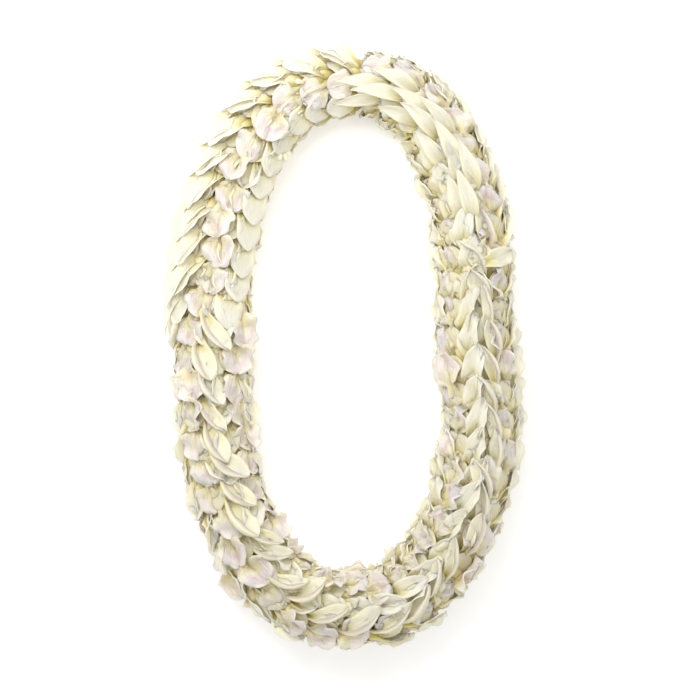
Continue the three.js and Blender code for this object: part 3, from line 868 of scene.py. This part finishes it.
def blossom_pieces(ring, j):
    """The pieces of blossom j of a ring: each a pattern with its points and their depths."""
    i = ring["ring"]
    turn = ring["turn"] + 90 * j
    fan = fan_share(i) if j == 0 else 0
    pieces = []

    def vary(k):
        """This blossom's draw k, from -1 to 1."""
        return draw(i, j, k)

    def sew(pattern, k, **sewing):
        """Sews in one piece, with draw k for its waves."""
        if i >= OVER_KNOT_FROM and j in (0, 1):
            sewing["length"] *= OVER_KNOT_LENGTH
        elif i >= SHORT_FROM and j in SHORT_LENGTHS:
            sewing["length"] *= SHORT_LENGTHS[j]
        pieces.append((pattern, *sewn(ring, pattern, vary(k), **sewing)))

    # Broad calm petals cover the two rows beside the fan, and the inner row before the tie.
    beside_fan = fan_share(i) if j in (1, 3) else 0
    before_tie = i >= BEFORE_TIE_FROM and j in (0, 3)
    covered = beside_fan > 0.5 or (before_tie and j == 3)
    right_side = i >= RIGHT_SIDE_FROM

    # The two halves of the chin, low between the lip and the petals.
    deeper = 3.5 * (i < DEEP_CHINS[0] or i > DEEP_CHINS[1])
    for half in (0, 1):
        k = 110 + 5 * half
        sew(CHIN, k, length=CHIN_LENGTH, rise=48, end=8, curl=0.9,
            root=(9.8 + vary(k + 2) - deeper - 2 * (right_side and j == 3)) * MM,
            shift=-8 * MM + 2 * MM * vary(k), turn=turn - 45 * half + 5 * vary(k + 1),
            splay=-10 * half, width=1.05, hug=0)

    # The lip, which the neighbours crumple most at the right, and the column in its throat.
    unruly = 0.3 if covered else 1 if i < CALM_LIPS_UNTIL and j == 0 else 1.6
    crest = right_side and not before_tie and vary(11) > -0.6
    lip = dict(LIP_SEWN, length=LIP_SEWN["length"] * (1 + 0.04 * vary(1)))
    lip["shift"] += 0.6 * MM * vary(4)
    if covered:
        lip.update(length=40 * MM, root=6 * MM)
    sew(LIP, 5, turn=turn + 5 * vary(2), splay=9 * unruly * vary(3) - 4,
        roll=(20 if crest else 12) * unruly * vary(6), twist=24 * unruly * vary(7),
        width=0.9 if crest else 1.0, fold=max(-8, 0.5 + 3.2 * unruly * vary(8) - 6 * crest) * MM,
        wave=(4.0 if crest else 3.0 if right_side else 2.6) * MM, lift=(4 * vary(9) - 2) * MM, hug=0.6,
        **lip)
    if not covered:
        sew(COLUMN, 6, length=11 * MM, rise=40, end=5, curl=1, root=17.8 * MM,
            shift=0.5 * MM + lip["shift"], turn=turn + 5 * vary(2), splay=12 * vary(3), width=0.8, high=0.8)

    # The two petals, one over the next row and one under the last.
    calm = 0.25 if covered else 1 - 0.7 * fan
    for side, sewing, k in ((1, OVER_PETAL_SEWN, 10), (-1, UNDER_PETAL_SEWN, 20)):
        petal = dict(sewing, length=sewing["length"] * (1 + 0.05 * vary(k)))
        splay = PETAL_SPLAY + 3 * vary(k + 2) + 5 * calm * vary(k + 7)
        width = 0.95
        if side > 0:
            splay += 11 * fan - 14 * (covered and before_tie)
            petal["length"] *= 1 + 0.22 * fan - 0.1 * beside_fan + 0.08 * right_side * (1 + vary(k + 9))
            width += 0.15 * covered - 0.25 * (before_tie and j == 0) - 0.12 * (right_side and not before_tie)
        else:
            petal["length"] *= 1 + 0.3 * right_side * max(0, vary(k + 9))
            splay -= 25 * fan
        sew(PETAL, k + 3, turn=turn + side * PETAL_ROOT_TURN, splay=side * splay,
            roll=side * (24 * calm * vary(k + 4) - 6 * fan), twist=40 * calm * vary(k + 5), width=width,
            fold=(0.6 + 3.2 * calm * vary(k + 6) + 1.6 * fan - 1.5 * covered) * MM,
            wave=(1.2 + 0.5 * right_side) * MM, lift=(3 * calm * vary(k + 8) - 1.5 * calm) * MM,
            sway=-4 * MM * fan * (side > 0), hug=0.85, **petal)

    # A side sepal, spread wide and low, closes the channel between this row of lips and the next.
    sew(PETAL, 93, length=(37 + 2 * vary(90)) * MM, rise=80, end=8, curl=0.7, root=8 * MM,
        shift=(-3 + 2 * vary(91)) * MM, turn=turn - 42 + 4 * vary(92), splay=-12 + 10 * vary(94),
        roll=8 * vary(95), twist=14 * vary(96), width=1.35, fold=-2.5 * MM, wave=0.8 * MM)

    # What lies on top in that channel: feathers in the fan, long narrow sepals before the tie, flat petals
    # along the two side rows, and elsewhere petals with one margin turned over.
    if fan > 0.5:
        sew(PETAL, 33, length=(46 + 1.5 * vary(30)) * MM, rise=80, end=5, curl=0.68, root=8 * MM,
            shift=(-3 + vary(31)) * MM, turn=turn - 42 + 2 * vary(34), splay=-6 + 4 * vary(32),
            roll=4 + 5 * vary(35), twist=8 * vary(36), width=1.3, wave=0.6 * MM, fold=-1.2 * MM, hug=0.9)
        sew(PETAL, 83, length=(61 + 3 * vary(81)) * MM, rise=80, end=5, curl=0.68, root=6.5 * MM,
            shift=(-2 + 2 * vary(82)) * MM, turn=turn + 44, splay=32 + 5 * vary(84),
            roll=-1 + 7 * vary(85), twist=9 + 9 * vary(86), width=1.3, fold=0.6 * MM, hug=0.6)
        sew(PETAL, 88, length=(60 + 3 * vary(77)) * MM, rise=80, end=5, curl=0.68, root=6 * MM,
            shift=(4 + 2 * vary(78)) * MM, turn=turn + 64, splay=21 + 5 * vary(79),
            roll=2 + 7 * vary(80), twist=10 + 9 * vary(87), width=1.3, fold=-1 * MM, hug=0.6)
    elif before_tie and j == 0:
        for beside in (0, 1):
            k = 33 + 40 * beside
            sew(SEPAL, k, length=(62 + 4 * vary(k + 1)) * MM, rise=80, end=5, curl=0.68,
                root=(8 - beside) * MM, shift=(-7 + 4 * beside + 2 * vary(k + 2)) * MM,
                turn=turn - 26 - 20 * beside + 7 * (-1) ** i, splay=-3 + 5 * vary(k + 4),
                roll=12 * vary(k + 5), twist=14 * vary(k + 6), width=1.05, high=0.5, wave=0.8 * MM, hug=0.95)
    elif j in (1, 3):
        sew(PETAL, 33, length=(44 + 3 * vary(30)) * MM, rise=80, end=6, curl=0.68, root=8 * MM,
            shift=(-5 + 2 * vary(31)) * MM, turn=turn - 24 + 4 * vary(34), splay=-16 + 8 * vary(32),
            roll=8 * vary(35), twist=12 * vary(36), width=1.3, fold=-2 * MM,
            wave=(1 + 0.4 * right_side) * MM)
    else:
        crossing, lean, breadth = (16, 22, 0.72) if right_side else (26, 6, 0.88)
        sew(HEMMED_PETAL, 33, length=(54 + 4 * vary(30)) * MM, rise=80, end=4, curl=0.66, root=9 * MM,
            shift=(-9 + 2.5 * vary(31)) * MM, turn=turn - 18 + 5 * vary(34),
            splay=-crossing + 13 * vary(32), roll=lean + 18 * vary(35), twist=14 + 32 * vary(36),
            width=breadth + 0.2 * vary(39), high=1.15 + 0.35 * vary(29), lift=3 * MM * vary(37),
            sway=(-10 + 10 * vary(38)) * MM, wave=1.6 * MM, hug=0.95)

    # The other side sepal, turned on its back, and the upper sepal, broad and flat under the lip.
    sew(SEPAL, 43, length=(43 + 5 * vary(40) - 8 * beside_fan + 4 * fan) * MM, rise=80, end=7, curl=0.7,
        root=(6.5 - 1.5 * covered) * MM, shift=(-2 + 3 * vary(41)) * MM, turn=turn + 34 + 5 * vary(44),
        splay=14 + 10 * vary(42) + 14 * fan, roll=150 + 30 * vary(45), twist=30 * vary(46), high=0.8,
        lift=3 * MM * vary(47), sway=(6 * vary(48) * (1 - fan) - 4 * fan) * MM, wave=0.6 * MM, hug=0.9)
    sew(PETAL, 53, length=38 * MM, rise=80, end=8, curl=0.7, root=8 * MM, shift=-3 * MM,
        turn=turn + 5 * vary(50), splay=8 * vary(51), width=1.25, fold=-2 * MM, hug=0.9)
    return pieces


# Small things that the hands left, each with the ring that it lies in: a torn petal, a broken bud of three
# pieces, a cut stub in a throat and two stray narrow tips.
LEAVINGS = [
    (39, PETAL, dict(
        seed=0.3, length=29 * MM, rise=9, end=1, curl=1, root=29 * MM, shift=9 * MM, turn=4, splay=68,
        width=0.85, twist=-30, fold=1.5 * MM, wave=1.6 * MM, hug=1.05)),
    (4, CHIN, dict(
        seed=0.1, length=12 * MM, rise=25, end=0, curl=1, root=25 * MM, shift=2 * MM, turn=-60, splay=-75,
        width=0.5, high=0.5, hug=0.6)),
    (4, CHIN, dict(
        seed=0.6, length=10 * MM, rise=30, end=0, curl=1, root=25 * MM, shift=5 * MM, turn=-62, splay=-45,
        width=0.45, high=0.5, hug=0.6)),
    (4, CHIN, dict(
        seed=0.8, length=9 * MM, rise=20, end=0, curl=1, root=25 * MM, shift=6 * MM, turn=-56, splay=-10,
        width=0.4, high=0.4, hug=0.6)),
    (2, COLUMN, dict(
        seed=0.5, length=9 * MM, rise=60, end=30, curl=1, root=24 * MM, shift=-5 * MM, turn=12, splay=20,
        width=1.1, high=1.1, hug=0)),
    (45, SEPAL, dict(
        seed=0.2, length=48 * MM, rise=80, end=2, curl=0.6, root=10 * MM, shift=-6 * MM, turn=74, splay=30,
        width=0.35, high=0.6, hug=0.7)),
    (29, SEPAL, dict(
        seed=0.7, length=50 * MM, rise=80, end=0, curl=0.6, root=10 * MM, shift=0, turn=66, splay=58,
        width=0.3, high=0.6, hug=0.5)),
]

# Each ring is one mesh, which stands for its node. Its points carry the petal's own tone and their depth,
# which sets the painted shade deep in the rope.
for i in range(RING_COUNT):
    ring = ring_frame(i)
    left = [(pattern, *sewn(ring, pattern, **how)) for at, pattern, how in LEAVINGS if at == i]
    points, depths, faces, uvs, finishes, blooms = [], [], [], [], [], []
    count = 0
    for j in range(4):
        pieces = blossom_pieces(ring, j) + (left if j == 0 else [])
        for number, (pattern, placed, depth) in enumerate(pieces):
            points.append(placed)
            depths.append(depth)
            faces += [[v + count for v in face] for face in pattern["faces"]]
            uvs.append(pattern["uv"])
            finishes += [pattern["finish"]] * len(pattern["faces"])
            blooms.append(np.full(len(placed), 0.5 + 0.5 * draw(i, j, FIRST_TONE_DRAW + number)))
            count += len(placed)
    mesh = bpy.data.meshes.new(f"blossom_ring_{i + 1:02d}")
    mesh.from_pydata(np.concatenate(points).tolist(), [], faces)
    mesh.uv_layers.new(name="petal").data.foreach_set("uv", np.concatenate(uvs).ravel())
    mesh.attributes.new("bloom", "FLOAT", "POINT").data.foreach_set("value", np.concatenate(blooms))
    mesh.attributes.new("depth", "FLOAT", "POINT").data.foreach_set("value", np.concatenate(depths))
    for material in PETAL_MATERIALS:
        mesh.materials.append(material)
    mesh.polygons.foreach_set("material_index", finishes)
    mesh.polygons.foreach_set("use_smooth", [True] * len(faces))
    mesh.update()
    piece = bpy.data.objects.new(mesh.name, mesh)
    bpy.context.collection.objects.link(piece)
    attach(piece, "root")
    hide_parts(f"blossoms_{i + 1:02d}")


# ---- The table, the lights and the camera -----------------------------------------------------------------
# A plain white table in an evenly lit room, seen from straight above. A square soft box lights the lei from
# the upper left, and a weaker one from the upper right.
TABLE_SIZE = 6
TABLE_GLOW = 0.22
ROOM_LIGHT = 0.81
bpy.ops.object.select_all(action="DESELECT")
bpy.ops.mesh.primitive_plane_add(size=TABLE_SIZE, location=(0, 0, 0))
table = bpy.context.active_object
table.name = "table"
white, nodes, links = new_material("white_table")
shader = nodes["Principled BSDF"]
shader.inputs["Base Color"].default_value = (0.96, 0.96, 0.96, 1)
shader.inputs["Roughness"].default_value = 0.9
shader.inputs["Emission Color"].default_value = (1, 1, 1, 1)
shader.inputs["Emission Strength"].default_value = TABLE_GLOW
table.data.materials.append(white)

room = bpy.data.worlds.new("studio")
room.use_nodes = True
room.node_tree.nodes["Background"].inputs["Color"].default_value = (1, 1, 1, 1)
room.node_tree.nodes["Background"].inputs["Strength"].default_value = ROOM_LIGHT
bpy.context.scene.world = room


def lamp(name, place, size, power):
    """A square soft box of a size and power at a place, turned to the middle of the table."""
    light = bpy.data.lights.new(name, "AREA")
    light.size = size
    light.energy = power
    holder = bpy.data.objects.new(name, light)
    bpy.context.collection.objects.link(holder)
    holder.location = place
    holder.visible_camera = False
    holder.rotation_euler = (-holder.location).to_track_quat("-Z", "Y").to_euler()


lamp("key_light", place=(-0.22, 0.32, 0.55), size=0.4, power=2.75)
lamp("fill_light", place=(0.16, 0.4, 0.5), size=0.5, power=0.9)

# The gamma gives the picture its soft contrast.
CAMERA_PLACE = (2.4 * MM, -0.6 * MM, 1.527)
SENSOR_WIDTH = 36
LENS_LENGTH = 99.3
SEES_AS_FAR_AS = 20
PICTURE_GAMMA = 1.2
camera = bpy.data.cameras.new("camera")
camera.sensor_width = SENSOR_WIDTH
camera.lens = LENS_LENGTH
camera.clip_end = SEES_AS_FAR_AS
view = bpy.data.objects.new("camera", camera)
view.location = CAMERA_PLACE
bpy.context.collection.objects.link(view)
bpy.context.scene.camera = view
bpy.context.scene.view_settings.view_transform = "Standard"
bpy.context.scene.view_settings.gamma = PICTURE_GAMMA
